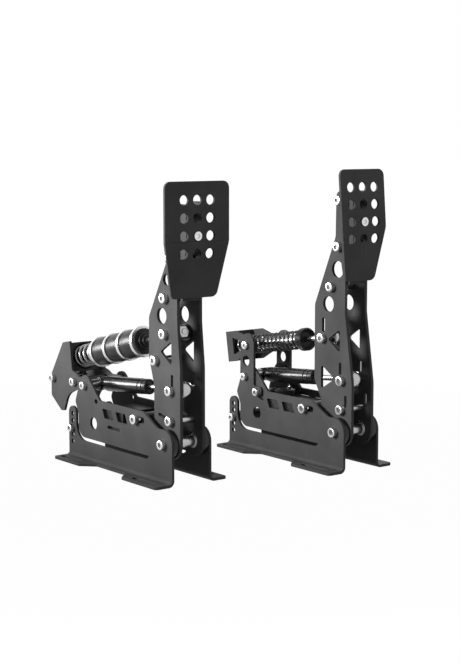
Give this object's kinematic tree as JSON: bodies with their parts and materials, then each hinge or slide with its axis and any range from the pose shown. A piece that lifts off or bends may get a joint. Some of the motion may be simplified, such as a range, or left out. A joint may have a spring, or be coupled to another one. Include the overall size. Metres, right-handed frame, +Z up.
{
  "type": "sim racing pedal set",
  "caption": "Free-standing sheet-metal brake and throttle pedals for racing simulators: slotted bases, elastomer stack with load cell, coil spring, linear dampers.",
  "frame": {"origin": "middle of the pair's outline on the rig plane that the four flanges stand on", "axes": "+X to the driver's right, from the brake to the throttle; +Y rearwards, away from the driver; +Z up"},
  "size_m": [0.267, 0.2927, 0.3135],
  "materials": {
    "powder_coat": "satin black powder coat, fine grain",
    "black_oxide": "black anodised, satin",
    "zinc_screws": "bright zinc-plated steel",
    "turned_steel": "turned steel, satin",
    "spring_steel": "drawn spring wire, bright",
    "black_spring": "black coated spring wire, gloss",
    "elastomer": "smooth dark polyurethane",
    "black_plastic": "moulded black plastic",
    "polished_sleeve": "machined aluminium"
  },
  "bodies": {
    "bases": {"brake_base_left": "powder_coat", "brake_base_right": "powder_coat", "brake_base_bars": "black_oxide", "brake_pivot_shaft": "turned_steel", "brake_pivot_discs": "black_oxide", "brake_base_screws": "zinc_screws", "brake_damper_pin": "turned_steel", "brake_spring": "black_spring", "housing_left": "powder_coat", "housing_right": "powder_coat", "housing_bars": "black_oxide", "spring_seat": "black_oxide", "load_cell": "turned_steel", "signal_box": "black_plastic", "throttle_base_left": "powder_coat", "throttle_base_right": "powder_coat", "throttle_base_bars": "black_oxide", "throttle_pivot_shaft": "turned_steel", "throttle_pivot_discs": "black_oxide", "throttle_base_screws": "zinc_screws", "throttle_damper_pin": "turned_steel", "throttle_ears": "powder_coat", "sensor": "black_plastic"},
    "brake_arm": {"brake_arm_left": "powder_coat", "brake_arm_right": "powder_coat", "brake_bearing_tube": "turned_steel", "brake_arm_spacers": "turned_steel", "brake_arm_screws": "zinc_screws", "brake_pad_bracket": "powder_coat", "brake_pad": "powder_coat", "brake_pad_screw": "zinc_screws"},
    "throttle_arm": {"throttle_arm_left": "powder_coat", "throttle_arm_right": "powder_coat", "throttle_bearing_tube": "turned_steel", "throttle_arm_spacers": "turned_steel", "throttle_arm_screws": "zinc_screws", "throttle_pad_bracket": "powder_coat", "throttle_pad": "powder_coat", "throttle_pad_screw": "zinc_screws"},
    "brake_push_rod": {"brake_barrel": "black_oxide", "brake_rod": "zinc_screws", "stack_cup": "black_oxide", "stack_washer_4": "zinc_screws"},
    "washer_1": {"stack_washer_1": "zinc_screws", "elastomer_1": "elastomer"},
    "washer_2": {"stack_washer_2": "zinc_screws", "elastomer_2": "elastomer"},
    "washer_3": {"stack_washer_3": "zinc_screws", "elastomer_3": "elastomer"},
    "brake_damper": {"brake_damper_body": "black_oxide"},
    "brake_damper_piston": {"brake_damper_rod": "turned_steel", "brake_damper_eye": "turned_steel"},
    "throttle_damper": {"throttle_damper_body": "black_oxide"},
    "throttle_damper_piston": {"throttle_damper_rod": "turned_steel", "throttle_damper_eye": "turned_steel"},
    "carrier": {"spring_carrier": "powder_coat", "throttle_spring": "spring_steel"},
    "throttle_push_rod": {"guide_sleeve": "polished_sleeve", "spring_rod": "turned_steel"},
    "knob": {"spring_knob": "black_oxide"}
  },
  "joints": [
    {"name": "brake_press", "type": "hinge", "parent": "bases", "child": "brake_arm", "pos_m": [-0.089, -0.07455, 0.0415], "axis": [-1, 0, 0], "range_deg": [0, 9], "stiffness_Nm_per_rad": 150, "springref_deg": -1.15, "deforming": ["brake_spring"]},
    {"name": "brake_rod_pivot", "type": "hinge", "parent": "brake_arm", "child": "brake_push_rod", "pos_m": [-0.089, -0.06585, 0.151], "axis": [-1, 0, 0], "range_deg": [-9, 0.5]},
    {"name": "washer_1_slide", "type": "slide", "parent": "brake_push_rod", "child": "washer_1", "axis": [0, -0.9709, 0.2394], "range_m": [0, 0.0095], "deforming": ["elastomer_1"]},
    {"name": "washer_2_slide", "type": "slide", "parent": "brake_push_rod", "child": "washer_2", "axis": [0, -0.9709, 0.2394], "range_m": [0, 0.0095], "deforming": ["elastomer_2"]},
    {"name": "washer_3_slide", "type": "slide", "parent": "brake_push_rod", "child": "washer_3", "axis": [0, -0.9709, 0.2394], "range_m": [0, 0.0095], "deforming": ["elastomer_3"]},
    {"name": "brake_damper_pivot", "type": "hinge", "parent": "bases", "child": "brake_damper", "pos_m": [-0.089, 0.07145, 0.0825], "axis": [-1, 0, 0], "range_deg": [-0.5, 1]},
    {"name": "brake_damper_slide", "type": "slide", "parent": "brake_damper", "child": "brake_damper_piston", "axis": [0, 0.9964, -0.0847], "range_m": [0, 0.0095]},
    {"name": "throttle_press", "type": "hinge", "parent": "bases", "child": "throttle_arm", "pos_m": [0.089, -0.12955, 0.0415], "axis": [-1, 0, 0], "range_deg": [0, 16], "stiffness_Nm_per_rad": 20, "springref_deg": -8.59, "deforming": ["throttle_spring"]},
    {"name": "throttle_damper_pivot", "type": "hinge", "parent": "bases", "child": "throttle_damper", "pos_m": [0.089, 0.01645, 0.0825], "axis": [-1, 0, 0], "range_deg": [-1, 0.5]},
    {"name": "throttle_damper_slide", "type": "slide", "parent": "throttle_damper", "child": "throttle_damper_piston", "axis": [0, 0.9964, -0.0847], "range_m": [0, 0.0155]},
    {"name": "throttle_carrier_pivot", "type": "hinge", "parent": "bases", "child": "carrier", "pos_m": [0.089, 0.01555, 0.1175], "axis": [-1, 0, 0], "range_deg": [-5, 0.5]},
    {"name": "throttle_rod_pivot", "type": "hinge", "parent": "throttle_arm", "child": "throttle_push_rod", "pos_m": [0.089, -0.10045, 0.1368], "axis": [-1, 0, 0], "range_deg": [-21, 0.5]},
    {"name": "knob_spin", "type": "hinge", "parent": "throttle_push_rod", "child": "knob", "pos_m": [0.089, -0.10045, 0.1368], "axis": [0, 0.9864, -0.1641], "range_deg": [-180, 180]}
  ],
  "couplings": [
    {"joint": "brake_rod_pivot", "follows": "brake_press", "ratio": -0.9393},
    {"joint": "washer_1_slide", "follows": "brake_press", "m_per_rad": 0.0573},
    {"joint": "washer_2_slide", "follows": "brake_press", "m_per_rad": 0.0382},
    {"joint": "washer_3_slide", "follows": "brake_press", "m_per_rad": 0.0191},
    {"joint": "brake_damper_pivot", "follows": "brake_press", "ratio": 0.0057},
    {"joint": "brake_damper_slide", "follows": "brake_press", "m_per_rad": 0.053443},
    {"joint": "throttle_damper_pivot", "follows": "throttle_press", "ratio": -0.0098},
    {"joint": "throttle_damper_slide", "follows": "throttle_press", "m_per_rad": 0.053258},
    {"joint": "throttle_carrier_pivot", "follows": "throttle_press", "ratio": -0.2678},
    {"joint": "throttle_rod_pivot", "follows": "throttle_press", "ratio": -1.2678}
  ]
}
